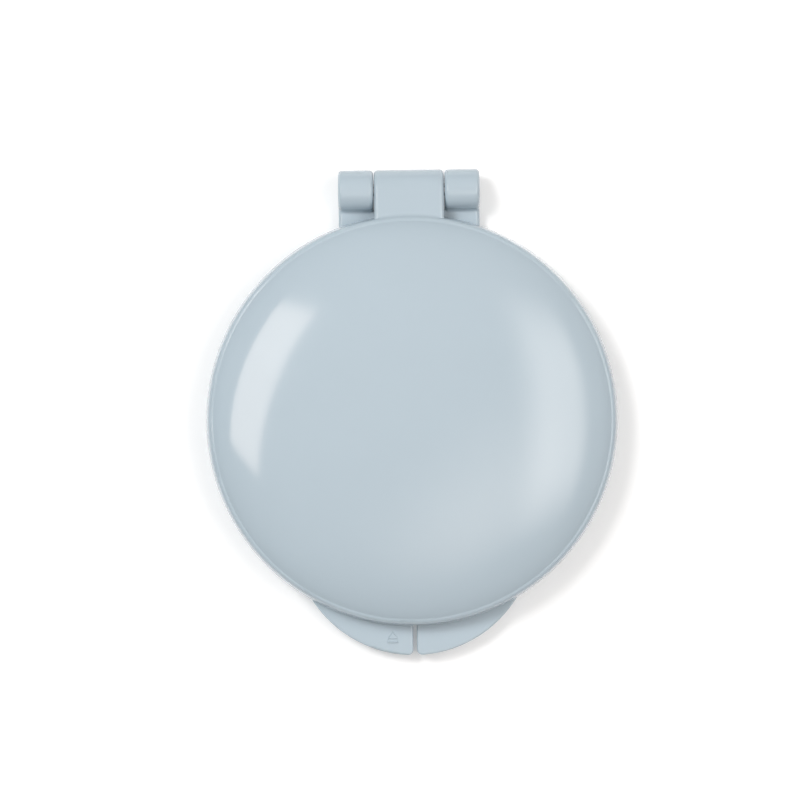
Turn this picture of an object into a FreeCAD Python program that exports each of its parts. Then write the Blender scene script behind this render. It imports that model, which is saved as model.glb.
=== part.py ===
"""Round hinged wet palette: a domed lid on a bowl-shaped base, with a pin hinge at the back and a
split thumb tab at the front.

Millimetres, +Z up. The origin is on the table under the middle of the round body, +Y points to
the hinge and +X to the right of someone who works at the palette with the tab towards them. The
left half of the tab belongs to the lid and the right half to the base, so a push up on one and
down on the other opens it. Every sub-part is written to parts/NODE.step.
"""
import FreeCAD
import Part

import math
import os

Vec = FreeCAD.Vector
UP = Vec(0, 0, 1)
RIGHT = Vec(1, 0, 0)

# ---------------------------------------------------------------- overall sizes
lid_radius = 50.0  # outside of the lid's rim
dome_height = 8.8  # crown of the dome above its foot
wall = 1.8  # moulded thickness of both shells
foot_proud = 0.6  # how far the non-slip ring stands out below the base
barrel_clear = 0.8  # hinge barrels above the table

# ---------------------------------------------------------------- lid
skirt_wall = 1.4  # thickness of the lid's skirt at its lower edge
skirt_draft = 8.0  # degrees that the outside of the skirt leans in
skirt_edge = 0.4  # rounding of the skirt's lower edge
bead_height = 1.05  # how far the foot of the dome stands above the hinge arm
bead_radius = 1.4  # rounding of the rim bead
bead_slope = 8.0  # degrees to the level at which the bead leaves the foot of the dome
dome_cove = 0.5  # hollow rounding at the foot of the dome
rib_wall = 1.2  # ring inside the lid that holds the seal and the mixing insert
rib_lap = 0.6  # how far that ring reaches down inside the base's rim
rib_edge = 0.3
shoulder_width = 1.2  # ledge that the mixing insert is pushed up against
pry_notch_width = 9.0  # gaps in the ring for a fingernail
pry_notch_count = 3
lug_width = 8.0  # small lugs that the mixing insert snaps past
lug_height = 0.35
lug_proud = 0.7

# ---------------------------------------------------------------- base
tongue_height = 2.0  # how far the base's rim stands up inside the skirt
base_corner = 3.0  # outside rounding between floor and wall
rim_edge = 0.4
flange_thickness = 1.3  # outside ledge that the skirt closes down to
flange_inset = 0.2  # how far the ledge stays inside the lid's outline
flange_edge = 0.4
catch_proud = 0.2  # snap bead on the front of the base's rim
catch_half_angle = 18.0  # degrees to each side of the front

# ---------------------------------------------------------------- clearances
skirt_gap = 0.3  # lid's skirt round the base's rim, and above the flange
barrel_gap = 1.1  # lid's rim to the front of the hinge barrels
knuckle_gap = 0.2  # between neighbouring knuckles
pin_clearance = 0.05  # pin in the lid's knuckle, radial
seal_gap = 0.15  # seal above the base's rim, as drawn
insert_gap = 0.2  # mixing insert in its ring
sponge_gap = 0.5  # sponge in the base
ring_gap = 0.2  # paper ring in the base

# ---------------------------------------------------------------- hinge
knuckle_radius = 4.8
pin_radius = 1.5
centre_knuckle_width = 16.9
side_knuckle_width = 8.5
arm_edge = 1.0  # rounding of the lid arm's long edges
arm_cove = 1.2  # hollow rounding where the arm runs into the lid
arm_drop = 0.8  # underside of the arm above the parting plane
ledge_thickness = 3.4  # ledge on the base that curls up into the two outer barrels
ledge_edge = 1.0  # rounding of the ledge's and the outer barrels' long edges
ear_cove = 1.0  # hollow rounding where the ledge curls up into the barrel
bridge_reach = 1.1  # ledge between the two ears, beyond the lid's rim
bridge_edge = 0.6
pin_end_wall = 1.05  # plastic left at the blind end of the pin's bore
pin_recess = 0.45  # pin end below the face of the right knuckle
pin_chamfer = 0.3

# ---------------------------------------------------------------- split thumb tab
tab_reach = 7.2  # furthest point of the tab beyond the lid's rim
tab_arc_radius = 29.4
tab_thickness = 2.2  # the tab's top is level with the ledge under the skirt
tab_slit = 0.9  # gap between the two halves
tab_edge = 0.5  # rounding of the top edges
tab_corner = 1.3  # rounding of the front corners beside the slit
arrow_width = 2.6  # raised open-here sign: a triangle above a bar
arrow_height = 1.9
arrow_bar = 0.55
arrow_space = 0.45
arrow_raise = 0.3
arrow_bevel = 0.2  # sloped edge round the top of the sign
arrow_x = -5.4
arrow_back = 3.0  # bar of the sign behind the front of the tab

# ---------------------------------------------------------------- inside
sponge_thickness = 2.8
sponge_edge = 0.5
membrane_thickness = 0.2
ring_width = 4.2
ring_thickness = 1.2
ring_edge = 0.45
notch_radius = 5.0  # two half-round notches in the paper ring, for lifting it
notch_depth = 2.2
insert_thickness = 1.2
insert_wall = 1.0
well_count = 6
well_radius = 7.6
well_depth = 3.2
well_pitch_radius = 31.6
well_taper = 1.4  # how much narrower a well is at its bottom
well_mouth = 0.5
well_bottom = 1.5
dish_radius = 19.5
dish_depth = 2.2
dish_taper = 1.6
foot_inner_radius = 29.5
foot_width = 5.0
foot_sunk = 0.8  # depth of the ring's groove in the base
foot_edge = 0.4
seal_lip_radius = 0.55
seal_side_gap = 0.1
seal_edge = 0.3

# ---------------------------------------------------------------- worked out from the sizes above
parting_z = barrel_clear + knuckle_radius  # underside of the lid's skirt
skirt_radius = lid_radius - skirt_wall
base_radius = skirt_radius - skirt_gap
cavity_radius = base_radius - wall
floor_z = foot_proud + wall
rim_z = parting_z + tongue_height
flange_top = parting_z - skirt_gap
flange_bottom = flange_top - flange_thickness
flange_radius = lid_radius - flange_inset

axis_y = lid_radius + barrel_gap + knuckle_radius
axis_z = parting_z  # the hinge turns in the parting plane
arm_top = axis_z + knuckle_radius
dome_foot_z = arm_top + bead_height
crown_z = dome_foot_z + dome_height
bead_end = 90.0 - skirt_draft  # degrees to the level at which the bead runs into the skirt
bead_centre_z = dome_foot_z - bead_radius * math.cos(math.radians(bead_slope))
bead_end_z = bead_centre_z + bead_radius * math.cos(math.radians(bead_end))
bead_end_radius = lid_radius - (bead_end_z - parting_z) * math.tan(math.radians(skirt_draft))
bead_centre_radius = bead_end_radius - bead_radius * math.sin(math.radians(bead_end))
dome_foot_radius = bead_centre_radius + bead_radius * math.sin(math.radians(bead_slope))
dome_foot_share = math.sqrt(1 - (dome_foot_radius / lid_radius) ** 2)
dome_rise = dome_height / (1 - dome_foot_share)  # upright half-axis of the ellipse
dome_centre_z = crown_z - dome_rise

rib_outer = cavity_radius - skirt_gap
rib_inner = rib_outer - rib_wall
rib_bottom = rim_z - rib_lap
insert_z = rib_bottom + rib_edge + lug_height  # painted face, which looks down when closed
shoulder_z = insert_z + insert_thickness
shoulder_radius = rib_inner - shoulder_width
seal_top = rim_z + seal_gap + seal_lip_radius + insert_wall

ledge_bottom = axis_z - knuckle_radius
ledge_top = ledge_bottom + ledge_thickness
centre_half = centre_knuckle_width / 2
ear_inner_x = centre_half + knuckle_gap
ear_outer_x = ear_inner_x + side_knuckle_width
pin_left_x = pin_end_wall - ear_outer_x
pin_right_x = ear_outer_x - pin_recess

tab_front_y = lid_radius + tab_reach
tab_centre_y = tab_front_y - tab_arc_radius  # measured towards the front
tab_top = flange_top
tab_bottom = tab_top - tab_thickness

sponge_radius = cavity_radius - sponge_gap
sponge_top = floor_z + sponge_thickness
membrane_top = sponge_top + membrane_thickness
ring_outer = cavity_radius - ring_gap
ring_inner = ring_outer - ring_width
ring_top = membrane_top + ring_thickness

big = 4 * lid_radius  # reach of the cutting blocks


# ---------------------------------------------------------------- helpers
def in_section(r, z):
    """A point of a section that is turned about Z."""
    return Vec(r, 0, z)


def in_side(y, z):
    """A point of an outline that is pushed along X."""
    return Vec(0, y, z)


def in_plan(x, y):
    """A point of an outline that is pushed along Z."""
    return Vec(x, y, 0)


def runs(corners, place, closed=False):
    """Edges along corners (u, v) or (u, v, rounding), with an arc at each rounded corner."""
    points = [place(c[0], c[1]) for c in corners]
    roundings = [c[2] if len(c) > 2 else 0.0 for c in corners]
    count = len(points)
    starts, ends, arcs = [], [], []
    for i, here in enumerate(points):
        inside = closed or 0 < i < count - 1
        if roundings[i] == 0.0 or not inside:
            starts.append(here)
            ends.append(here)
            arcs.append(None)
            continue
        back = (points[i - 1] - here).normalize()
        ahead = (points[(i + 1) % count] - here).normalize()
        half = back.getAngle(ahead) / 2
        reach = roundings[i] / math.tan(half)
        middle = (back + ahead).normalize() * (roundings[i] / math.sin(half) - roundings[i])
        starts.append(here + back * reach)
        ends.append(here + ahead * reach)
        arcs.append(here + middle)
    edges = []
    for i in range(count):
        if arcs[i] is not None:
            edges.append(Part.Arc(starts[i], arcs[i], ends[i]).toShape())
        following = (i + 1) % count
        if following == 0 and not closed:
            break
        if ends[i].distanceToPoint(starts[following]) > 1e-6:
            edges.append(Part.LineSegment(ends[i], starts[following]).toShape())
    return edges


def face_of(edges):
    """A flat face inside a closed run of edges."""
    return Part.Face(Part.Wire(Part.__sortEdges__(edges)))


def turned(edges, degrees=360.0, start=0.0):
    """A section turned about Z."""
    solid = face_of(edges).revolve(Vec(0, 0, 0), UP, degrees)
    solid.rotate(Vec(0, 0, 0), UP, start)
    return solid


def turned_outline(corners, degrees=360.0, start=0.0):
    """A closed outline of (r, z) or (r, z, rounding) corners turned about Z."""
    return turned(runs(corners, in_section, closed=True), degrees, start)


def pushed_x(edges, x0, x1):
    """A side outline pushed along X from x0 to x1."""
    solid = face_of(edges).extrude(RIGHT * (x1 - x0))
    solid.translate(RIGHT * x0)
    return solid


def block(x0, x1, y0, y1, z0, z1):
    """A plain block between two corners."""
    return Part.makeBox(x1 - x0, y1 - y0, z1 - z0, Vec(x0, y0, z0))


def drum(radius, z0, z1, x=0.0, y=0.0):
    """An upright cylinder."""
    return Part.makeCylinder(radius, z1 - z0, Vec(x, y, z0), UP)


def edges_where(shape, test):
    """The edges of a shape whose middle point passes a test."""
    found = []
    for edge in shape.Edges:
        middle = edge.valueAt((edge.FirstParameter + edge.LastParameter) / 2)
        if test(edge, middle):
            found.append(edge)
    return found


def single(shape):
    """The one solid that a fused shape holds."""
    shape = shape.removeSplitter()
    assert len(shape.Solids) == 1, "the pieces of this moulding do not meet"
    return shape.Solids[0]


def write(name, shape):
    """Writes one sub-part and prints its size."""
    assert shape.isValid(), name + " is not a sound solid"
    shape.exportStep(os.path.join("parts", name + ".step"))
    box = shape.BoundBox
    print(f"{name:16s} {box.XLength:7.2f} {box.YLength:7.2f} {box.ZLength:7.2f}"
          f"  volume {shape.Volume:9.1f}")


# ---------------------------------------------------------------- hinge outlines
def ear_outline():
    """Side view of one base ear: a ledge that curls up into a barrel."""
    start = lid_radius / 2
    meet_y = axis_y - math.sqrt(knuckle_radius ** 2 - (axis_z - ledge_top) ** 2)
    flat = runs([(meet_y, ledge_top), (start, ledge_top), (start, ledge_bottom),
                 (axis_y, ledge_bottom)], in_side)
    barrel = Part.Arc(in_side(axis_y, ledge_bottom),
                      in_side(axis_y, axis_z + knuckle_radius),
                      in_side(meet_y, ledge_top)).toShape()
    return flat + [barrel]


def arm_outline():
    """Side view of the lid's arm: a bar that runs out level to wrap the centre barrel."""
    start = lid_radius / 2
    underside = axis_z + arm_drop
    meet_y = axis_y - math.sqrt(knuckle_radius ** 2 - arm_drop ** 2)
    straight = runs([(meet_y, underside), (start, underside), (start, arm_top), (axis_y, arm_top)],
                    in_side)
    barrel = Part.Arc(in_side(axis_y, arm_top),
                      in_side(axis_y, axis_z - knuckle_radius),
                      in_side(meet_y, underside)).toShape()
    return straight + [barrel]


def pin_hole(radius, x0, x1):
    """A round hole along the hinge axis."""
    return Part.makeCylinder(radius, x1 - x0, Vec(x0, axis_y, axis_z), RIGHT)


def ear(side):
    """One base ear with rounded ends, on the right (1) or left (-1), before it joins the base."""
    x0, x1 = sorted((side * ear_inner_x, side * ear_outer_x))
    solid = pushed_x(ear_outline(), x0, x1)
    inner_corner = edges_where(solid, lambda e, m: abs(m.z - ledge_top) < 1e-4
                               and e.BoundBox.YLength < 1e-3 and m.y > lid_radius)
    solid = solid.makeFillet(ear_cove, inner_corner)
    ends = edges_where(solid, lambda e, m: min(abs(m.x - x0), abs(m.x - x1)) < 1e-4
                       and e.BoundBox.YMax > lid_radius - wall)
    return solid.makeFillet(ledge_edge, ends)


# ---------------------------------------------------------------- thumb tab
def tab_angle(radius):
    """Degrees from the front at which the tab's outline crosses a circle about the body."""
    cosine = ((radius ** 2 + tab_centre_y ** 2 - tab_arc_radius ** 2)
              / (2 * tab_centre_y * radius))
    return math.degrees(math.acos(cosine))


def front_sector(angle, z0, z1, side):
    """A wedge from the front line round to an angle, on one side of the slit."""
    reach = big * math.tan(math.radians(angle))
    half = side * tab_slit / 2
    corners = [in_plan(half, 0), in_plan(half, -big), in_plan(half + side * reach, -big)]
    solid = Part.Face(Part.makePolygon(corners + corners[:1])).extrude(UP * (z1 - z0))
    solid.translate(UP * z0)
    return solid


def tab_pad(side, inside_radius):
    """One half of the tab, from a radius inside the wall that carries it, with rounded edges."""
    pad = drum(tab_arc_radius, tab_bottom, tab_top, 0.0, -tab_centre_y)
    pad = pad.cut(drum(inside_radius, 0, big))
    end = tab_angle(lid_radius)
    pad = pad.common(front_sector(end, tab_bottom, tab_top, side)).Solids[0]
    front = -lid_radius - tab_reach / 2
    corner = edges_where(pad, lambda e, m: e.BoundBox.ZLength > tab_thickness / 2
                         and e.BoundBox.YMax < front)
    pad = pad.makeFillet(tab_corner, corner)
    outline = edges_where(pad, lambda e, m: abs(m.z - tab_top) < 1e-4
                          and e.BoundBox.YMin < -lid_radius)
    return pad.makeFillet(tab_edge, outline)


def top_edges(shape):
    """The edges round the flat top of a shape."""
    return edges_where(shape, lambda e, m: abs(m.z - shape.BoundBox.ZMax) < 1e-4)


def open_sign():
    """Raised triangle above a bar, on top of the lid's half of the tab."""
    bar_y = arrow_back - tab_front_y
    half = arrow_width / 2
    bar = block(arrow_x - half, arrow_x + half, bar_y, bar_y + arrow_bar,
                tab_top - arrow_raise, tab_top + arrow_raise)
    foot = bar_y + arrow_bar + arrow_space
    peak = foot + arrow_height
    corners = [in_plan(arrow_x - half, foot), in_plan(arrow_x + half, foot),
               in_plan(arrow_x, peak)]
    triangle = Part.Face(Part.makePolygon(corners + corners[:1])).extrude(UP * 2 * arrow_raise)
    triangle.translate(UP * (tab_top - arrow_raise))
    return [mark.makeChamfer(arrow_bevel, top_edges(mark)) for mark in (bar, triangle)]


# ---------------------------------------------------------------- lid
def dome_arc(radius, rise, r_from):
    """The dome's elliptical section from r_from up to the crown."""
    ellipse = Part.Ellipse(in_section(radius, dome_centre_z),
                           in_section(0, dome_centre_z + rise),
                           in_section(0, dome_centre_z))
    return Part.ArcOfEllipse(ellipse, math.acos(r_from / radius), math.pi / 2).toShape()


def dome_z(radius, rise, r):
    """Height above the table of a dome's section at r."""
    return dome_centre_z + rise * math.sqrt(1 - (r / radius) ** 2)


def on_bead(slope):
    """The point (r, z) of the rim bead's section where it slopes by so many degrees."""
    tilt = math.radians(slope)
    return (bead_centre_radius + bead_radius * math.sin(tilt),
            bead_centre_z + bead_radius * math.cos(tilt))


def lid_body():
    """The lid without its arm and tab: skirt, rim bead, dome, and the ring inside."""
    inner_radius = lid_radius - wall
    inner_rise = dome_rise - wall
    skirt = runs([(skirt_radius, parting_z),
                  (lid_radius, parting_z, skirt_edge),
                  (bead_end_radius, bead_end_z)], in_section)
    bead = Part.Arc(in_section(*on_bead(bead_end)),
                    in_section(*on_bead((bead_end + bead_slope) / 2)),
                    in_section(*on_bead(bead_slope))).toShape()
    crown = Part.LineSegment(in_section(0, crown_z), in_section(0, crown_z - wall)).toShape()
    inside_z = dome_z(inner_radius, inner_rise, shoulder_radius)
    inside = runs([(shoulder_radius, inside_z),
                   (shoulder_radius, shoulder_z),
                   (rib_inner, shoulder_z),
                   (rib_inner, rib_bottom, rib_edge),
                   (rib_outer, rib_bottom, rib_edge),
                   (rib_outer, seal_top),
                   (skirt_radius, seal_top),
                   (skirt_radius, parting_z)], in_section)
    body = turned(skirt
                  + [bead, dome_arc(lid_radius, dome_rise, dome_foot_radius), crown,
                     dome_arc(inner_radius, inner_rise, shoulder_radius)]
                  + inside)
    foot = edges_where(body, lambda e, m: abs(m.z - dome_foot_z) < 1e-4
                       and abs(math.hypot(m.x, m.y) - dome_foot_radius) < 1e-3)
    return body.makeFillet(dome_cove, foot)


def retaining_lugs():
    """Three small lugs on the ring that hold the mixing insert in."""
    span = math.degrees(lug_width / rib_inner)
    step = 360.0 / pry_notch_count
    z = rib_bottom + rib_edge
    section = [(rib_inner - lug_proud, z), (rib_inner + rib_wall / 2, z),
               (rib_inner + rib_wall / 2, z + lug_height), (rib_inner - lug_proud, z + lug_height)]
    return [turned_outline(section, span, 90.0 + (i + 0.5) * step - span / 2)
            for i in range(pry_notch_count)]


def pry_notches():
    """Gaps in the ring, one at the front, for lifting the mixing insert out."""
    notches = []
    for i in range(pry_notch_count):
        notch = block(-pry_notch_width / 2, pry_notch_width / 2,
                      -rib_outer - skirt_gap / 2, -shoulder_radius,
                      rib_bottom - 1.0, insert_z)
        notch.rotate(Vec(0, 0, 0), UP, i * 360.0 / pry_notch_count)
        notches.append(notch)
    return notches


def lid_arm():
    """The centre knuckle and the arm that carries it, with rounded long edges."""
    arm = pushed_x(arm_outline(), -centre_half, centre_half)
    sides = edges_where(arm, lambda e, m: abs(abs(m.x) - centre_half) < 1e-4
                        and e.BoundBox.YMax > lid_radius)
    arm = arm.makeFillet(arm_edge, sides)
    return arm.cut(drum(skirt_radius + skirt_wall / 4, 0, big))


def arm_root():
    """Hollow rounding between the top of the arm and the rim bead, between the arm's edges."""
    centre_z = arm_top + arm_cove
    reach = bead_radius + arm_cove
    centre_r = bead_centre_radius + math.sqrt(reach ** 2 - (centre_z - bead_centre_z) ** 2)
    slope = math.degrees(math.acos((centre_z - bead_centre_z) / reach))
    meet_r, meet_z = on_bead(slope)
    centre = in_section(centre_r, centre_z)
    towards_bead = (in_section(meet_r, meet_z) - centre).normalize()
    middle = centre + (towards_bead - UP).normalize() * arm_cove
    hollow = Part.Arc(in_section(centre_r, arm_top), middle,
                      in_section(meet_r, meet_z)).toShape()
    rest = runs([(meet_r, meet_z), (bead_centre_radius, meet_z),
                 (bead_centre_radius, arm_top), (centre_r, arm_top)], in_section)
    half = math.degrees(math.asin((centre_half - arm_edge) / lid_radius))
    return turned(rest + [hollow], 2 * half, 90.0 - half)


def skirt_drop():
    """The part of the skirt that reaches down behind the lid's half of the tab."""
    top = parting_z + skirt_edge
    top_radius = lid_radius - skirt_edge * math.tan(math.radians(skirt_draft))
    drop = turned_outline([(skirt_radius, tab_bottom), (lid_radius, tab_bottom),
                           (lid_radius, parting_z), (top_radius, top), (skirt_radius, top)])
    return drop.common(front_sector(tab_angle(lid_radius), tab_bottom, top, -1))


def lid_shell():
    """The whole lid moulding."""
    shell = lid_body().fuse([lid_arm(), arm_root(), skirt_drop(), tab_pad(-1, skirt_radius)]
                            + open_sign() + retaining_lugs())
    shell = shell.cut(Part.makeCompound(pry_notches()))
    bore = pin_hole(pin_radius + pin_clearance, -centre_half - 1.0, centre_half + 1.0)
    return single(shell.cut(bore))


def seal_ring():
    """Soft seal in the lid's groove: a flat band with a half-round lip that meets the rim."""
    middle = (base_radius + cavity_radius) / 2
    lip_z = rim_z + seal_gap + seal_lip_radius
    inner = rib_outer + seal_side_gap
    outer = skirt_radius - seal_side_gap
    band = runs([(middle - seal_lip_radius, lip_z), (inner, lip_z, seal_edge), (inner, seal_top),
                 (outer, seal_top), (outer, lip_z, seal_edge), (middle + seal_lip_radius, lip_z)],
                in_section)
    lip = Part.Arc(in_section(middle + seal_lip_radius, lip_z),
                   in_section(middle, lip_z - seal_lip_radius),
                   in_section(middle - seal_lip_radius, lip_z)).toShape()
    return turned(band + [lip])


def cup(radius, depth, taper, thickness=0.0):
    """A shallow round hollow that opens downwards, or the outside of its wall."""
    top = insert_z + depth + thickness
    mouth = well_mouth if thickness == 0.0 else 0.0
    return turned_outline([(0, insert_z - 1.0),
                           (radius + thickness + 1.0, insert_z - 1.0),
                           (radius + thickness + 1.0, insert_z),
                           (radius + thickness, insert_z, mouth),
                           (radius + thickness - taper, top, well_bottom + thickness),
                           (0, top)])


def mixing_insert():
    """White insert in the lid: a ring of wells round a wide dish, upside down when closed."""
    plate = turned_outline([(0, insert_z), (rib_inner - insert_gap, insert_z, rib_edge),
                            (rib_inner - insert_gap, shoulder_z), (0, shoulder_z)])
    walls = [cup(dish_radius, dish_depth, dish_taper, insert_wall)]
    hollows = [cup(dish_radius, dish_depth, dish_taper)]
    for i in range(well_count):
        angle = math.radians((i + 0.5) * 360.0 / well_count)
        move = Vec(math.cos(angle), math.sin(angle), 0) * well_pitch_radius
        wall_cup = cup(well_radius, well_depth, well_taper, insert_wall)
        hollow = cup(well_radius, well_depth, well_taper)
        wall_cup.translate(move)
        hollow.translate(move)
        walls.append(wall_cup)
        hollows.append(hollow)
    below = drum(big, insert_z - 2.0, insert_z)
    solid = plate.fuse(walls).cut(below)
    return single(solid.cut(Part.makeCompound(hollows)))


# ---------------------------------------------------------------- base
def base_body():
    """The base without its ears and tab: bowl, rim tongue and the ledge under the skirt."""
    return turned_outline([(0, foot_proud),
                           (base_radius, foot_proud, base_corner),
                           (base_radius, flange_bottom),
                           (flange_radius, flange_bottom, flange_edge),
                           (flange_radius, flange_top, flange_edge),
                           (base_radius, flange_top),
                           (base_radius, rim_z, rim_edge),
                           (cavity_radius, rim_z, rim_edge),
                           (cavity_radius, floor_z, base_corner - wall),
                           (0, floor_z)])


def catch_bead():
    """Low half-round bead on the front of the rim that the skirt snaps over."""
    z = parting_z + tongue_height / 2
    arc = Part.Arc(in_section(base_radius, z + 2 * catch_proud),
                   in_section(base_radius + catch_proud, z),
                   in_section(base_radius, z - 2 * catch_proud)).toShape()
    back = runs([(base_radius, z - 2 * catch_proud), (base_radius - wall / 2, z),
                 (base_radius, z + 2 * catch_proud)], in_section)
    return turned([arc] + back, 2 * catch_half_angle, -90.0 - catch_half_angle)


def hinge_bridge():
    """The ledge that joins the two ears, under the lid's arm."""
    bridge = block(-ear_inner_x - ledge_edge, ear_inner_x + ledge_edge,
                   lid_radius / 2, lid_radius + bridge_reach, ledge_bottom, ledge_top)
    far = edges_where(bridge, lambda e, m: abs(m.y - lid_radius - bridge_reach) < 1e-4
                      and e.BoundBox.ZLength < 1e-3)
    return bridge.makeFillet(bridge_edge, far)


def base_shell():
    """The whole base moulding."""
    cavity = drum(cavity_radius, floor_z, big)
    ears = [piece.cut(cavity) for piece in (ear(-1), ear(1), hinge_bridge())]
    room = front_sector(tab_angle(lid_radius) + math.degrees(skirt_gap / lid_radius),
                        tab_bottom - 1.0, tab_top + 1.0, -1)
    room = room.fuse(block(-tab_slit / 2, tab_slit / 2, -big, 0,
                           tab_bottom - 1.0, tab_top + 1.0))
    room = room.cut(drum(base_radius, 0, big))
    shell = base_body().cut(room)
    shell = shell.fuse(ears + [tab_pad(1, base_radius - wall / 2), catch_bead()])
    groove = turned_outline([(foot_inner_radius, foot_proud - 1.0),
                             (foot_inner_radius + foot_width, foot_proud - 1.0),
                             (foot_inner_radius + foot_width, foot_proud + foot_sunk),
                             (foot_inner_radius, foot_proud + foot_sunk)])
    bore = pin_hole(pin_radius, pin_left_x, ear_outer_x + 1.0)
    return single(shell.cut(Part.makeCompound([groove, bore])))


def hinge_pin():
    """Steel pin, pressed into the ears, with chamfered ends."""
    pin = pin_hole(pin_radius, pin_left_x, pin_right_x)
    return pin.makeChamfer(pin_chamfer, edges_where(pin, lambda e, m: e.BoundBox.XLength < 0.01))


def foot_ring():
    """Soft non-slip ring in the base's groove. The palette stands on it."""
    outer = foot_inner_radius + foot_width
    return turned_outline([(foot_inner_radius, 0, foot_edge), (outer, 0, foot_edge),
                           (outer, foot_proud + foot_sunk),
                           (foot_inner_radius, foot_proud + foot_sunk)])


def sponge():
    """Round sponge that lies in the base and holds the water."""
    return turned_outline([(0, floor_z),
                           (sponge_radius, floor_z, base_corner - wall),
                           (sponge_radius, sponge_top, sponge_edge),
                           (0, sponge_top)])


def membrane_sheet():
    """Thin sheet of palette paper on the sponge."""
    return drum(sponge_radius, sponge_top, membrane_top)


def paper_ring():
    """Ring that holds the sheet's edge down, with a notch on each side for lifting it."""
    ring = turned_outline([(ring_inner, membrane_top),
                           (ring_outer, membrane_top),
                           (ring_outer, ring_top, ring_edge),
                           (ring_inner, ring_top, ring_edge)])
    centre_x = ring_inner + notch_depth - notch_radius
    notches = [drum(notch_radius, membrane_top - 1.0, ring_top + 1.0, side * centre_x)
               for side in (-1, 1)]
    return single(ring.cut(notches))


# ---------------------------------------------------------------- build
os.makedirs("parts", exist_ok=True)
for make in (base_shell, lid_shell, hinge_pin, seal_ring, mixing_insert, foot_ring, sponge,
             membrane_sheet, paper_ring):
    write(make.__name__, make())
print(f"hinge axis y {axis_y:.2f} z {axis_z:.2f}, crown {crown_z:.2f}, dome rise {dome_rise:.2f}")
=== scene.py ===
"""Looks of a round hinged wet palette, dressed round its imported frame.

The palette is a pocket box: a domed lid and a bowl-shaped base in glossy pale blue-grey plastic,
a steel hinge pin, a soft seal and a white mixing insert in the lid, and a sponge under a sheet of
damp palette paper with its clamp ring in the base. Metres, +Z up, +Y towards the hinge.
"""
import logging
import math
from collections.abc import Callable
from dataclasses import dataclass, field
from enum import Enum

import bpy
from mathutils import Matrix, Quaternion, Vector, noise


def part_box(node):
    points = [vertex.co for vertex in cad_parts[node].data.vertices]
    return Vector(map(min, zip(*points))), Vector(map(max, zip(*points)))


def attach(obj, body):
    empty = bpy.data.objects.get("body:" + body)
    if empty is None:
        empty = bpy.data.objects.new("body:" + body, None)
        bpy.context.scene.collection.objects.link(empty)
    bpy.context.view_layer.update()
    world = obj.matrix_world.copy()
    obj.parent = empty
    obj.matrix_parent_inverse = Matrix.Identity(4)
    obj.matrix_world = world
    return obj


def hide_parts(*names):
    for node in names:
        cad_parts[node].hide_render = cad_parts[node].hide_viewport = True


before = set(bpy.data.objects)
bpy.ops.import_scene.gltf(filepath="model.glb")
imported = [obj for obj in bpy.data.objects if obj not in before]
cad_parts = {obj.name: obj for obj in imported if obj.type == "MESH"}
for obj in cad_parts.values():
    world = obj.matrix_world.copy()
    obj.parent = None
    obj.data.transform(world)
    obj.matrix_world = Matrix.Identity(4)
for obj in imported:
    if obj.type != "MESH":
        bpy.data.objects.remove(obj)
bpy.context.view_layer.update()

MM = 0.001
AREA_LIGHT_POWER = 4.0  # power of an area light over its area and radiance
log = logging.getLogger("wet_palette")

Triple = tuple[float, float, float]
Colour = Triple
Outline = list[tuple[float, float]]
Socket = bpy.types.NodeSocket
Owner = bpy.types.Material | bpy.types.World | bpy.types.Light


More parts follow.
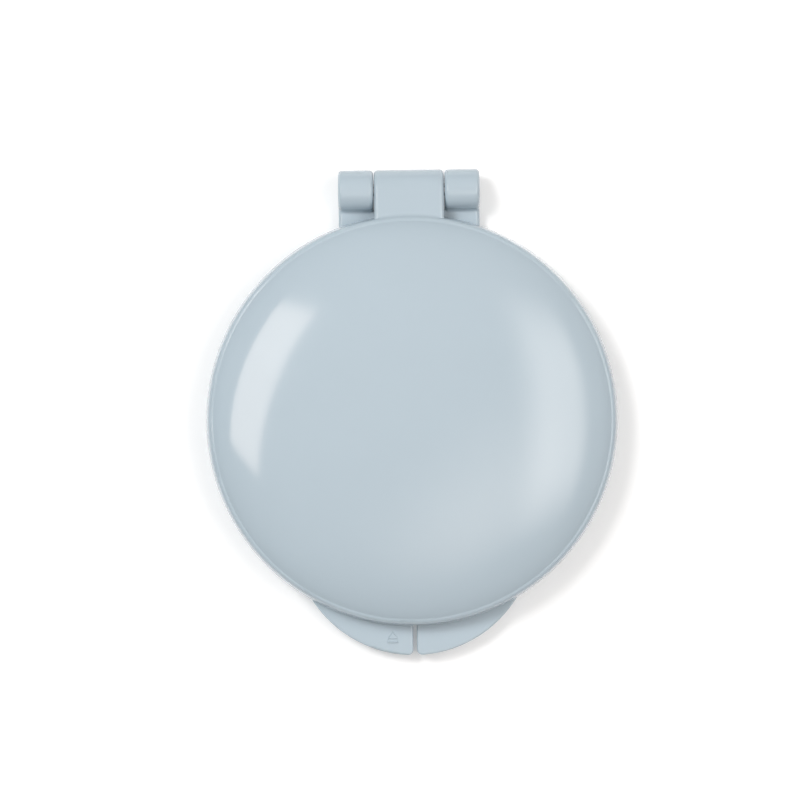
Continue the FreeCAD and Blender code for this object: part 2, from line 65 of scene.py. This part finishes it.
# ---------------------------------------------------------------- node graphs
class Graph:
    """A node tree that is written as a list of steps."""

    def __init__(self, owner: Owner) -> None:
        """Starts an empty tree.

        Args:
            owner: the material, world or light that the tree belongs to.
        """
        owner.use_nodes = True
        self.tree = owner.node_tree
        self.tree.nodes.clear()

    def add(self, kind: str, inputs: dict[str | int, object] | None = None,
            **settings: object) -> bpy.types.Node:
        """Adds one node and feeds its inputs.

        Args:
            kind: the node's type, without its ShaderNode prefix.
            inputs: a value or another node's output for each input, by name or number.
            settings: the node's own settings.

        Returns:
            The new node.
        """
        node = self.tree.nodes.new("ShaderNode" + kind)
        for name, value in settings.items():
            setattr(node, name, value)
        for key, value in (inputs or {}).items():
            if isinstance(value, bpy.types.NodeSocket):
                self.tree.links.new(value, node.inputs[key])
            else:
                node.inputs[key].default_value = value
        return node

    def place(self, stretch: Triple = (1.0, 1.0, 1.0)) -> Socket:
        """Gives the point on the piece, in metres, stretched along each axis.

        Args:
            stretch: the factor along X, Y and Z.

        Returns:
            The output with the stretched point.
        """
        point = self.add("TexCoord").outputs["Object"]
        return self.add("Mapping", {"Vector": point, "Scale": stretch}).outputs["Vector"]

    def grain(self, size: float, detail: float = 2.0, rough: float = 0.5,
              stretch: Triple = (1.0, 1.0, 1.0)) -> Socket:
        """Adds cloudy noise.

        Args:
            size: the size of one cloud in metres.
            detail: how many finer layers lie on it.
            rough: how strong the finer layers are.
            stretch: the factor on the point along each axis.

        Returns:
            The output with the noise, from 0 to 1.
        """
        inputs = {"Vector": self.place(stretch), "Scale": 1.0 / size, "Detail": detail,
                  "Roughness": rough}
        return self.add("TexNoise", inputs).outputs["Fac"]

    def between(self, value: Socket, low: float, high: float, start: float = 0.3,
                end: float = 0.7) -> Socket:
        """Maps a value on to a narrower range.

        Args:
            value: the output to map.
            low: the result at start.
            high: the result at end.
            start: where the change begins.
            end: where the change is complete.

        Returns:
            The output with the mapped value.
        """
        inputs = {"Value": value, "From Min": start, "From Max": end, "To Min": low, "To Max": high}
        return self.add("MapRange", inputs).outputs["Result"]

    def combine(self, operation: str, first: object, second: object) -> Socket:
        """Combines two values.

        Args:
            operation: the arithmetic, such as ADD or MULTIPLY.
            first: a value or an output.
            second: a value or an output.

        Returns:
            The output with the result.
        """
        return self.add("Math", {0: first, 1: second}, operation=operation).outputs[0]

    def tint(self, factor: Socket, low: Colour, high: Colour) -> Socket:
        """Mixes two colours.

        Args:
            factor: 0 gives the first colour and 1 the second.
            low: the first colour.
            high: the second colour.

        Returns:
            The output with the mixed colour.
        """
        inputs = {0: factor, 6: (*low, 1.0), 7: (*high, 1.0)}
        return self.add("Mix", inputs, data_type="RGBA").outputs[2]

    def bump(self, height: Socket, depth: float, strength: float = 1.0,
             under: Socket | None = None) -> Socket:
        """Turns a height into a tilted surface.

        Args:
            height: the output with the height, from 0 to 1.
            depth: the real height of 1, in metres.
            strength: the share of the tilt that is kept.
            under: another bump that this one lies on.

        Returns:
            The output with the surface normal.
        """
        inputs: dict[str | int, object] = {"Height": height, "Distance": depth,
                                           "Strength": strength}
        if under is not None:
            inputs["Normal"] = under
        return self.add("Bump", inputs).outputs["Normal"]

    def surface(self, inputs: dict[str | int, object]) -> None:
        """Ends a material with its shader."""
        shader = self.add("BsdfPrincipled", inputs)
        self.add("OutputMaterial", {"Surface": shader.outputs["BSDF"]})


def scaled(colour: Colour, factor: float) -> Colour:
    """A lighter or darker colour of the same hue."""
    return tuple(min(1.0, part * factor) for part in colour)


# ---------------------------------------------------------------- finishes
@dataclass(frozen=True)
class Finish:
    """What all finishes of the palette share: a name and a way to become a material."""

    name: str

    def build(self) -> bpy.types.Material:
        """Makes the material."""
        material = bpy.data.materials.new(self.name)
        self.paint(Graph(material))
        return material

    def paint(self, graph: Graph) -> None:
        """Fills the material's node graph."""
        raise NotImplementedError


@dataclass(frozen=True)
class MouldedPlastic(Finish):
    """Coloured through plastic from a polished or a satin mould."""

    colour: Colour
    roughness: float
    haze: float = 0.03  # how much the roughness varies
    mottle: float = 0.015  # how much the colour varies
    mottle_size: float = 0.018
    rub_size: float = 0.009  # size of the duller and glossier patches
    hairline_size: float = 0.0006
    peel: float = 2.0e-6  # height of the slight waviness of a moulded face
    peel_size: float = 0.004
    grain_depth: float = 0.0  # height of a fine satin grain
    grain_size: float = 0.0003
    glow: float = 0.04  # share of light that spreads inside the plastic
    glow_depth: float = 0.0008

    def paint(self, graph: Graph) -> None:
        """Fills the material's node graph."""
        cloud = graph.grain(self.mottle_size, 3.0)
        colour = graph.tint(cloud, scaled(self.colour, 1 - self.mottle),
                            scaled(self.colour, 1 + self.mottle))
        rubbed = graph.grain(self.rub_size, 4.0, 0.6)
        hairline = graph.grain(self.hairline_size, 2.0, 0.5, (0.04, 1.0, 0.3))
        worn = graph.combine("MULTIPLY", graph.between(hairline, 0.0, self.haze, 0.6, 0.75),
                             rubbed)
        polish = graph.between(rubbed, self.roughness - self.haze / 2,
                               self.roughness + self.haze / 2)
        normal = graph.bump(graph.grain(self.peel_size, 1.0), self.peel)
        if self.grain_depth > 0.0:
            normal = graph.bump(graph.grain(self.grain_size, 2.0), self.grain_depth, 0.6, normal)
        graph.surface({"Base Color": colour, "Roughness": graph.combine("ADD", polish, worn),
                       "Normal": normal, "IOR": 1.49, "Subsurface Weight": self.glow,
                       "Subsurface Radius": (1.0, 1.0, 1.0),
                       "Subsurface Scale": self.glow_depth})


@dataclass(frozen=True)
class DrawnSteel(Finish):
    """Bright steel wire with the fine lines of the die along it."""

    colour: Colour = (0.60, 0.60, 0.61)
    line_size: float = 0.00012
    line_depth: float = 4.0e-6
    stain_size: float = 0.003

    def paint(self, graph: Graph) -> None:
        """Fills the material's node graph."""
        lines = graph.grain(self.line_size, 3.0, 0.6, (0.02, 1.0, 1.0))
        stain = graph.grain(self.stain_size, 3.0)
        graph.surface({"Base Color": graph.tint(stain, scaled(self.colour, 0.9), self.colour),
                       "Metallic": 1.0, "Roughness": graph.between(lines, 0.2, 0.38),
                       "Normal": graph.bump(lines, self.line_depth, 0.5)})


@dataclass(frozen=True)
class Silicone(Finish):
    """Soft rubber with a dull, slightly dusty skin."""

    colour: Colour
    roughness: float = 0.5
    glow: float = 0.15
    dust_size: float = 0.0009
    skin_size: float = 0.0004
    skin_depth: float = 1.2e-5

    def paint(self, graph: Graph) -> None:
        """Fills the material's node graph."""
        dust = graph.between(graph.grain(self.dust_size, 4.0, 0.7), 0.0, 1.0, 0.45, 0.8)
        skin = graph.bump(graph.grain(self.skin_size, 3.0), self.skin_depth, 0.5)
        graph.surface({"Base Color": graph.tint(dust, self.colour, scaled(self.colour, 1.12)),
                       "Roughness": graph.between(dust, self.roughness, self.roughness + 0.15,
                                                  0.0, 1.0),
                       "Normal": skin, "IOR": 1.41, "Subsurface Weight": self.glow,
                       "Subsurface Radius": (1.0, 0.9, 0.8), "Subsurface Scale": 0.0012})


@dataclass(frozen=True)
class OpenCellSponge(Finish):
    """Damp fine-pored sponge, its pores darkened with painted shade."""

    colour: Colour = (0.80, 0.72, 0.48)
    pore: float = 0.0009
    pore_depth: float = 2.5e-4
    cloud_size: float = 0.012

    def paint(self, graph: Graph) -> None:
        """Fills the material's node graph."""
        cells = graph.add("TexVoronoi", {"Vector": graph.place(), "Scale": 1.0 / self.pore})
        # pore mask: sinks the bump into each pore and paints the pore darker as painted shade
        pore_bump_and_shade = graph.between(cells.outputs["Distance"], 0.0, 1.0, 0.12, 0.45)
        cloud = graph.grain(self.cloud_size, 2.0)
        # painted shade in the pores, times a random tone cloud
        shade = graph.combine("MULTIPLY", pore_bump_and_shade, graph.between(cloud, 0.8, 1.0))
        graph.surface({"Base Color": graph.tint(shade, scaled(self.colour, 0.35), self.colour),
                       "Roughness": graph.between(cloud, 0.55, 0.85),
                       "Normal": graph.bump(pore_bump_and_shade, self.pore_depth, 0.7), "Subsurface Weight": 0.2,
                       "Subsurface Radius": (1.0, 0.8, 0.5), "Subsurface Scale": 0.001})


@dataclass(frozen=True)
class DampPaper(Finish):
    """Strong thin palette paper with short fibres, wet in patches."""

    colour: Colour = (0.83, 0.82, 0.77)
    fibre_size: float = 0.0005
    fibre_depth: float = 4.0e-5
    patch_size: float = 0.016  # size of the wet patches

    def paint(self, graph: Graph) -> None:
        """Fills the material's node graph."""
        along = graph.grain(self.fibre_size, 3.0, 0.6, (0.25, 1.0, 1.0))
        across = graph.grain(self.fibre_size, 3.0, 0.6, (1.0, 0.3, 1.0))
        fibres = graph.combine("MULTIPLY", graph.combine("ADD", along, across), 0.5)
        wet = graph.between(graph.grain(self.patch_size, 3.0), 0.0, 1.0, 0.4, 0.62)
        dry = graph.tint(graph.between(fibres, 0.0, 1.0, 0.35, 0.65), scaled(self.colour, 0.93),
                         scaled(self.colour, 1.03))
        tone = graph.add("Mix", {0: wet, 6: dry, 7: (*scaled(self.colour, 0.86), 1.0)},
                         data_type="RGBA").outputs[2]
        graph.surface({"Base Color": tone, "Roughness": graph.between(wet, 0.62, 0.24, 0.0, 1.0),
                       "Normal": graph.bump(fibres, self.fibre_depth, 0.55),
                       "Subsurface Weight": 0.25, "Subsurface Radius": (1.0, 1.0, 0.9),
                       "Subsurface Scale": 0.0008})


@dataclass(frozen=True)
class WhiteSweep(Finish):
    """Matt white sheet of a light table, which glows a little from below."""

    brightness: float = 0.9
    glow: float = 0.15
    cloud_size: float = 0.3
    tooth_size: float = 0.0008
    tooth_depth: float = 2.0e-5

    def paint(self, graph: Graph) -> None:
        """Fills the material's node graph."""
        cloud = graph.grain(self.cloud_size, 2.0)
        white = (self.brightness, self.brightness, self.brightness)
        graph.surface({"Base Color": graph.tint(cloud, scaled(white, 0.99), white),
                       "Roughness": 0.8, "Specular IOR Level": 0.2,
                       "Emission Color": (1.0, 1.0, 1.0, 1.0), "Emission Strength": self.glow,
                       "Normal": graph.bump(graph.grain(self.tooth_size, 3.0),
                                            self.tooth_depth, 0.3)})


class Plastics(Enum):
    """The palette's three moulded plastics."""

    SHELL = MouldedPlastic("shell_plastic", (0.447, 0.533, 0.592), 0.10)
    INSERT = MouldedPlastic("insert_plastic", (0.83, 0.84, 0.83), 0.16, mottle=0.01, glow=0.12)
    CLAMP = MouldedPlastic("clamp_ring_plastic", (0.33, 0.405, 0.45), 0.34, grain_depth=6.0e-6)


class Rubbers(Enum):
    """The palette's two silicone mouldings."""

    SEAL = Silicone("seal_silicone", (0.60, 0.66, 0.68), glow=0.3)
    FOOT = Silicone("foot_silicone", (0.30, 0.36, 0.39), roughness=0.6, glow=0.05)


# ---------------------------------------------------------------- meshes
def new_piece(name: str, points: list[Vector], faces: list[list[int]],
              finish: bpy.types.Material) -> bpy.types.Object:
    """Makes an object from points and faces.

    Args:
        name: the piece's name.
        points: its points in metres.
        faces: the numbers of each face's points, anticlockwise from outside.
        finish: its material.

    Returns:
        The new object, smooth shaded.
    """
    mesh = bpy.data.meshes.new(name)
    mesh.from_pydata(points, [], faces)
    mesh.validate()
    mesh.shade_smooth()
    mesh.materials.append(finish)
    piece = bpy.data.objects.new(name, mesh)
    bpy.context.scene.collection.objects.link(piece)
    return piece


def turned_ring(section: Outline, steps: int) -> tuple[list[Vector], list[list[int]]]:
    """Turns a closed section about the upright axis.

    Args:
        section: (radius, height) points, anticlockwise where radius runs right and height up.
        steps: the number of steps round the ring.

    Returns:
        The ring's points and faces.
    """
    count = len(section)
    points = []
    for step in range(steps):
        angle = math.tau * step / steps
        points += [Vector((r * math.cos(angle), r * math.sin(angle), z)) for r, z in section]
    faces = []
    for step in range(steps):
        here, ahead = step * count, (step + 1) % steps * count
        for i in range(count):
            j = (i + 1) % count
            faces.append([here + i, ahead + i, ahead + j, here + j])
    return points, faces


def rounded(corners: list[Triple], steps: int = 5) -> Outline:
    """Rounds the corners of a closed section.

    Args:
        corners: (radius, height, rounding) of each corner.
        steps: the number of steps round one corner.

    Returns:
        The section's points.
    """
    outline = []
    for i, (r, z, rounding) in enumerate(corners):
        here = Vector((r, z))
        back = (Vector(corners[i - 1][:2]) - here).normalized()
        ahead = (Vector(corners[(i + 1) % len(corners)][:2]) - here).normalized()
        if rounding == 0.0:
            outline.append((r, z))
            continue
        half = back.angle(ahead) / 2
        middle = here + (back + ahead).normalized() * rounding / math.sin(half)
        first = here + back * rounding / math.tan(half) - middle
        last = here + ahead * rounding / math.tan(half) - middle
        for step in range(steps + 1):
            arm = first.lerp(last, step / steps).normalized() * rounding
            outline.append(tuple(middle + arm))
    return outline


def round_grid(radius: float, rings: int, steps: int, first: int = 0,
               height: Callable[[float, float], float] = lambda x, y: 0.0,
               flip: bool = False) -> tuple[list[Vector], list[list[int]]]:
    """Makes a round sheet of quads about a middle point.

    Args:
        radius: the sheet's radius.
        rings: the number of rings from the middle to the edge.
        steps: the number of steps round a ring.
        first: the number of the sheet's first point.
        height: the sheet's height at x, y.
        flip: True for a sheet that faces down.

    Returns:
        The sheet's points, ring by ring from the middle, and its faces.
    """
    points = [Vector((0, 0, height(0, 0)))]
    for ring in range(1, rings + 1):
        r = radius * ring / rings
        for step in range(steps):
            x, y = r * math.cos(math.tau * step / steps), r * math.sin(math.tau * step / steps)
            points.append(Vector((x, y, height(x, y))))
    faces = []
    for step in range(steps):
        beside = (step + 1) % steps
        faces.append([0, 1 + step, 1 + beside])
        for ring in range(rings - 1):
            inner, outer = 1 + ring * steps, 1 + (ring + 1) * steps
            faces.append([inner + step, outer + step, outer + beside, inner + beside])
    faces = [[first + i for i in (reversed(face) if flip else face)] for face in faces]
    return points, faces


# ---------------------------------------------------------------- the palette
@dataclass
class Lid:
    """The lid: its shell, the soft seal in its groove and the mixing insert under its dome."""

    seal_width: float = 2.2 * MM
    seal_lip: float = 0.55 * MM
    seal_groove: float = 0.18 * MM
    seal_bevel: float = 0.25 * MM
    seal_edge: float = 0.08 * MM
    seal_back_edge: float = 0.15 * MM
    lip_steps: int = 12
    steps: int = 288

    def dress(self) -> list[bpy.types.Object]:
        """Gives the lid's mouldings their plastic."""
        shell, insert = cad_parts["lid_shell"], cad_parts["mixing_insert"]
        cover(shell, Plastics.SHELL.value.build())
        cover(insert, Plastics.INSERT.value.build())
        return [shell, insert]

    def seal_section(self) -> Outline:
        """The seal's section: a band with a half-round lip and a groove on each side of it.

        Returns:
            The section's points.
        """
        low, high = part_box("seal_ring")
        outer, inner = high.x, high.x - self.seal_width
        middle, lip_z = (outer + inner) / 2, low.z + self.seal_lip
        bevel, groove, edge = self.seal_bevel, self.seal_groove, self.seal_edge
        turns = [math.pi * (step / self.lip_steps - 0.5) for step in range(self.lip_steps + 1)]
        lip = [(middle + self.seal_lip * math.sin(turn), lip_z - self.seal_lip * math.cos(turn))
               for turn in turns]
        rest = rounded([(middle + self.seal_lip + groove, lip_z + groove, edge),
                        (outer - bevel, lip_z, edge),
                        (outer, lip_z + bevel, edge),
                        (outer, high.z, self.seal_back_edge),
                        (inner, high.z, self.seal_back_edge),
                        (inner, lip_z + bevel, edge),
                        (inner + bevel, lip_z, edge),
                        (middle - self.seal_lip - groove, lip_z + groove, edge)], 3)
        return lip + rest

    def seal(self) -> bpy.types.Object:
        """Makes the soft seal in place of its plain solid."""
        points, faces = turned_ring(self.seal_section(), self.steps)
        seal = new_piece("lid_seal", points, faces, Rubbers.SEAL.value.build())
        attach(seal, "lid")
        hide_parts("seal_ring")
        return seal


@dataclass
class Base:
    """The base: its shell, the hinge pin in its ears and the non-slip ring that it stands on."""

    foot_width: float = 5.0 * MM
    foot_edge: float = 0.4 * MM
    back_edge: float = 0.05 * MM
    groove_count: int = 4
    groove_depth: float = 0.35 * MM
    groove_share: float = 0.42  # width of a groove over the step to the next
    margin: float = 0.25  # rest of the foot at each side, in the same steps
    groove_steps: int = 6
    steps: int = 288

    def dress(self) -> list[bpy.types.Object]:
        """Gives the base's shell and the hinge pin their finish."""
        shell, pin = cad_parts["base_shell"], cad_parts["hinge_pin"]
        cover(shell, Plastics.SHELL.value.build())
        cover(pin, DrawnSteel("pin_steel").build())
        return [shell, pin]

    def foot_section(self) -> Outline:
        """The foot's section: a flat band with round-bottomed grooves in its lower face.

        Returns:
            The section's points.
        """
        low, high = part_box("foot_ring")
        outer, inner = high.x, high.x - self.foot_width
        pitch = self.foot_width / (self.groove_count + 2 * self.margin)
        groove = pitch * self.groove_share
        section: Outline = []
        for number in range(self.groove_count):
            middle = inner + pitch * (number + 0.5 + self.margin)
            for step in range(self.groove_steps + 1):
                turn = math.pi * step / self.groove_steps
                section.append((middle - groove / 2 * math.cos(turn),
                                low.z + self.groove_depth * math.sin(turn)))
        corners = rounded([(outer, low.z, self.foot_edge), (outer, high.z, self.back_edge),
                           (inner, high.z, self.back_edge), (inner, low.z, self.foot_edge)])
        return section + corners

    def foot(self) -> bpy.types.Object:
        """Makes the ribbed non-slip ring in place of its plain solid."""
        points, faces = turned_ring(self.foot_section(), self.steps)
        foot = new_piece("non_slip_foot", points, faces, Rubbers.FOOT.value.build())
        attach(foot, "base")
        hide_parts("foot_ring")
        return foot


@dataclass
class WetStack:
    """What lies in the base: the sponge, the palette paper on it and the ring that clamps it."""

    ring_width: float = 4.2 * MM
    paper_thickness: float = 0.10 * MM
    cockle: float = 0.35 * MM
    cockle_size: float = 17.0 * MM
    pore: float = 0.9 * MM
    pore_depth: float = 0.22 * MM
    pore_share: float = 0.45  # radius of a pore over the step to the next
    sponge_edge: float = 0.6 * MM
    sponge_clear: float = 0.05 * MM  # sponge inside its plain solid, above and below
    sole_inset: float = 0.8 * MM  # how far the sponge's lower face is drawn in
    paper_flat: float = 0.5 * MM  # flat paper inside the clamp ring
    paper_clear: float = 0.03 * MM
    rings: int = 84
    steps: int = 300
    seed: Vector = field(default_factory=lambda: Vector((3.7, 1.9, 5.3)))

    def dress(self) -> list[bpy.types.Object]:
        """Gives the clamp ring its satin plastic."""
        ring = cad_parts["paper_ring"]
        cover(ring, Plastics.CLAMP.value.build())
        return [ring]

    def pit(self, x: float, y: float) -> float:
        """Depth of the sponge's pores at x, y, from 0 between them to 1 in one."""
        point = Vector((x, y, 0)) / self.pore + self.seed
        near = noise.voronoi(point)[0][0]
        return max(0.0, 1.0 - near / self.pore_share)

    def sponge(self) -> bpy.types.Object:
        """Makes the sponge: a low crowned disc with open pores and a soft edge.

        Returns:
            The sponge.
        """
        low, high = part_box("sponge")
        radius, edge = high.x, self.sponge_edge
        floor, top = low.z + self.sponge_clear, high.z - self.sponge_clear

        def upper(x: float, y: float) -> float:
            """Height of the sponge's upper face."""
            outside = max(0.0, math.hypot(x, y) - radius + edge)
            fall = edge - math.sqrt(max(0.0, edge ** 2 - outside ** 2))
            return top - fall - self.pore_depth * self.pit(x, y)

        points, faces = round_grid(radius, self.rings, self.steps, 0, upper)
        first = len(points)
        under, more = round_grid(radius - self.sole_inset, self.rings // 4, self.steps, first,
                                 lambda x, y: floor, flip=True)
        points += under
        faces += more
        rim, sole = first - self.steps, len(points) - self.steps
        for step in range(self.steps):
            beside = (step + 1) % self.steps
            faces.append([rim + step, sole + step, sole + beside, rim + beside])
        sponge = new_piece("damp_sponge", points, faces, OpenCellSponge("sponge_foam").build())
        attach(sponge, "base")
        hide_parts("sponge")
        return sponge

    def paper(self) -> bpy.types.Object:
        """Makes the palette paper: flat under the clamp ring and gently cockled inside it.

        Returns:
            The sheet.
        """
        low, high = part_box("membrane_sheet")
        radius = high.x
        free = radius - self.ring_width - self.paper_flat

        def lie(x: float, y: float) -> float:
            """Height of the paper's lower face."""
            share = min(1.0, math.hypot(x, y) / free)
            point = Vector((x, y, 0)) / self.cockle_size + self.seed
            wave = 0.5 + noise.noise(point) * 0.7 + noise.noise(point * 2.7) * 0.3
            rise = self.cockle * max(0.0, wave) * (1 - share ** 2) ** 0.8
            return low.z + self.paper_clear + rise

        points, faces = round_grid(radius, self.rings, self.steps, 0, lie)
        paper = new_piece("palette_paper", points, faces, DampPaper("damp_paper").build())
        depth = paper.modifiers.new("paper_thickness", "SOLIDIFY")
        depth.thickness = self.paper_thickness
        depth.offset = 1.0
        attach(paper, "base")
        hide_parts("membrane_sheet")
        return paper


def cover(node: bpy.types.Object, finish: bpy.types.Material) -> None:
    """Puts one finish on a whole CAD node.

    Args:
        node: the CAD node's object.
        finish: its material.
    """
    node.data.materials.clear()
    node.data.materials.append(finish)


# ---------------------------------------------------------------- studio
@dataclass(frozen=True)
class Softbox:
    """A rectangular studio light that looks at the palette."""

    name: str
    zenith: float  # degrees from straight up
    azimuth: float  # degrees clockwise from the hinge
    width: float
    length: float
    spin: float  # degrees about its own line of sight
    radiance: float
    tint: Colour = (1.0, 0.86, 0.77)
    edge: float = 0.12  # share of the face over which its light fades
    distance: float = 1.0
    mirrored: bool = True  # whether gloss shows the light's face
    lit: bool = True  # whether the light falls on matt surfaces

    def hang(self) -> bpy.types.Object:
        """Makes the light.

        Returns:
            The light's object.
        """
        light = bpy.data.lights.new(self.name, "AREA")
        light.shape = "RECTANGLE"
        light.size, light.size_y = self.width, self.length
        light.energy = AREA_LIGHT_POWER * self.width * self.length * self.radiance
        graph = Graph(light)
        face = graph.add("NewGeometry").outputs["Parametric"]
        axes = graph.add("SeparateXYZ", {0: face})
        fades = []
        for axis in ("X", "Y"):
            offset = graph.combine("SUBTRACT", axes.outputs[axis], 0.5)
            inside = graph.combine("SUBTRACT", 0.5, graph.combine("ABSOLUTE", offset, 0.0))
            fade = graph.add("MapRange", {"Value": inside, "From Min": 0.0, "From Max": self.edge},
                             interpolation_type="SMOOTHSTEP")
            fades.append(fade.outputs["Result"])
        glow = graph.add("Emission", {"Color": (*self.tint, 1.0),
                                      "Strength": graph.combine("MULTIPLY", *fades)})
        graph.add("OutputLight", {"Surface": glow.outputs["Emission"]})
        lamp = bpy.data.objects.new(self.name, light)
        bpy.context.scene.collection.objects.link(lamp)
        tilt, turn = math.radians(self.zenith), math.radians(self.azimuth)
        away = Vector((math.sin(tilt) * math.sin(turn), math.sin(tilt) * math.cos(turn),
                       math.cos(tilt)))
        lamp.location = away * self.distance
        lamp.rotation_mode = "QUATERNION"
        lamp.rotation_quaternion = ((-away).to_track_quat("-Z", "Y")
                                    @ Quaternion((0, 0, 1), math.radians(self.spin)))
        lamp.visible_camera = False
        lamp.visible_glossy = self.mirrored
        lamp.visible_diffuse = self.lit
        return lamp


@dataclass
class Studio:
    """A white sweep under soft light, with a camera that looks straight down."""

    floor_size: float = 6.0
    horizon: float = 0.06
    ceiling: float = 0.80
    falloff: float = 1.6  # how fast the room darkens away from straight overhead
    lens: float = 180.0
    sensor: float = 36.0
    clip_start: float = 0.01
    view_width: float = 193.8 * MM  # what the camera sees across, level with the rim
    rim_height: float = 8.0 * MM
    aim: tuple[float, float] = (-2.93 * MM, 4.82 * MM)
    roll: float = -0.8  # degrees
    key: Softbox = Softbox("key", 37.5, 284.5, 0.76, 0.37, -12.0, 4.1, lit=False)
    fill: Softbox = Softbox("fill", 33.0, 88.0, 1.25, 0.58, 0.0, 2.9, tint=(1.0, 0.93, 0.88),
                            edge=0.36)
    front: Softbox = Softbox("front_fill", 22.0, 140.0, 1.20, 0.70, 0.0, 1.5, edge=0.5,
                             lit=False)
    sun: Softbox = Softbox("skylight", 33.0, 306.0, 0.36, 0.36, 0.0, 12.3,
                           tint=(1.0, 1.0, 1.0), mirrored=False)

    def floor(self) -> bpy.types.Object:
        """Lays the sweep.

        Returns:
            The sweep, which isn't part of the palette.
        """
        half = self.floor_size / 2
        corners = [Vector((x, y, 0)) for x, y in ((-half, -half), (half, -half), (half, half),
                                                  (-half, half))]
        sweep = new_piece("sweep", corners, [[0, 1, 2, 3]], WhiteSweep("sweep_paper").build())
        return sweep

    def sky(self) -> bpy.types.World:
        """Lights the room: dim at the horizon and bright overhead.

        Returns:
            The world.
        """
        world = bpy.data.worlds.new("soft_room")
        bpy.context.scene.world = world
        graph = Graph(world)
        up = graph.add("SeparateXYZ", {0: graph.add("TexCoord").outputs["Generated"]})
        above = graph.combine("MAXIMUM", up.outputs["Z"], 0.0)
        bright = graph.combine("POWER", above, self.falloff)
        light = graph.between(bright, self.horizon, self.ceiling, 0.0, 1.0)
        room = graph.add("Background", {"Color": (1.0, 1.0, 1.0, 1.0), "Strength": light})
        graph.add("OutputWorld", {"Surface": room.outputs["Background"]})
        return world

    def camera(self) -> bpy.types.Object:
        """Hangs the camera over the palette.

        Returns:
            The camera.
        """
        lens = bpy.data.cameras.new("overhead_camera")
        lens.lens, lens.sensor_width, lens.clip_start = self.lens, self.sensor, self.clip_start
        camera = bpy.data.objects.new("overhead_camera", lens)
        bpy.context.scene.collection.objects.link(camera)
        turn = math.radians(self.roll)
        across = Matrix.Rotation(turn, 2) @ Vector(self.aim)
        height = self.rim_height + self.view_width * self.lens / self.sensor
        camera.location = (across.x, across.y, height)
        camera.rotation_euler = (0.0, 0.0, turn)
        bpy.context.scene.camera = camera
        bpy.context.scene.view_settings.view_transform = "Standard"
        return camera


def report(part: str, pieces: list[bpy.types.Object]) -> None:
    """Logs what one sub-assembly is made of.

    Args:
        part: the sub-assembly's name.
        pieces: its pieces.
    """
    for piece in pieces:
        log.info("%s: %s, %d faces", part, piece.name, len(piece.data.polygons))


def main() -> None:
    """Builds the palette's looks piece by piece and the studio round it."""
    logging.basicConfig(level=logging.INFO, format="%(name)s %(message)s")
    lid, base, stack, studio = Lid(), Base(), WetStack(), Studio()
    report("lid", lid.dress() + [lid.seal()])
    report("base", base.dress() + [base.foot()])
    report("wet stack", stack.dress() + [stack.sponge(), stack.paper()])
    report("studio", [studio.floor()])
    studio.sky()
    for softbox in (studio.key, studio.fill, studio.front, studio.sun):
        log.info("studio: %s light", softbox.hang().name)
    log.info("studio: %s", studio.camera().name)


if __name__ == "__main__":
    main()
